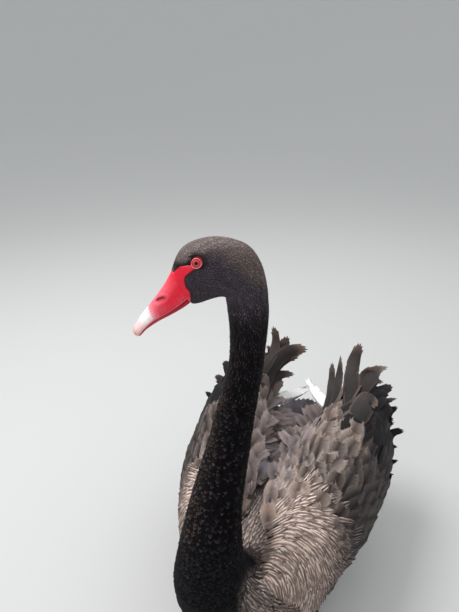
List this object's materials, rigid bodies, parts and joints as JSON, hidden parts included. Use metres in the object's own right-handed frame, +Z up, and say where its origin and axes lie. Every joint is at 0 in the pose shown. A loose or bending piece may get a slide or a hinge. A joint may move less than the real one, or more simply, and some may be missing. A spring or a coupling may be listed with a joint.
{
  "type": "black swan, still life-size model",
  "caption": "Still, life-size black swan resting on its belly, neck raised, head turned to its right, wings lifted with curled rear feathers.",
  "frame": {"origin": "middle of the flat under the belly, on the floor", "axes": "+Z up, the bird faces -Y and its left side is +X"},
  "size_m": [0.45, 0.6412, 0.755],
  "materials": {
    "body_feathers": "soft brown-grey feathers with pale edges",
    "neck_feathers": "short dense charcoal feathers",
    "wing_feathers": "taupe feathers with pale edges",
    "tail_feathers": "dark smooth feathers",
    "white_feathers": "smooth white feathers",
    "bill": "smooth waxy horn",
    "eye": "wet gloss",
    "leg_skin": "scaled skin",
    "claw": "dark horn"
  },
  "bodies": {
    "root": {"torso": "body_feathers", "neck_lower": "neck_feathers", "neck_middle": "neck_feathers", "neck_upper": "neck_feathers", "head": "neck_feathers", "bill_upper": "bill", "bill_lower": "bill", "tail": "tail_feathers", "eye_left": "eye", "wing_left_back": "wing_feathers", "wing_left_side": "wing_feathers", "primaries_left": "white_feathers", "leg_left": "leg_skin", "foot_left": "leg_skin", "claw_left_1": "claw", "claw_left_2": "claw", "claw_left_3": "claw", "claw_left_4": "claw", "eye_right": "eye", "wing_right_back": "wing_feathers", "wing_right_side": "wing_feathers", "primaries_right": "white_feathers", "leg_right": "leg_skin", "foot_right": "leg_skin", "claw_right_1": "claw", "claw_right_2": "claw", "claw_right_3": "claw", "claw_right_4": "claw"}
  },
  "joints": []
}
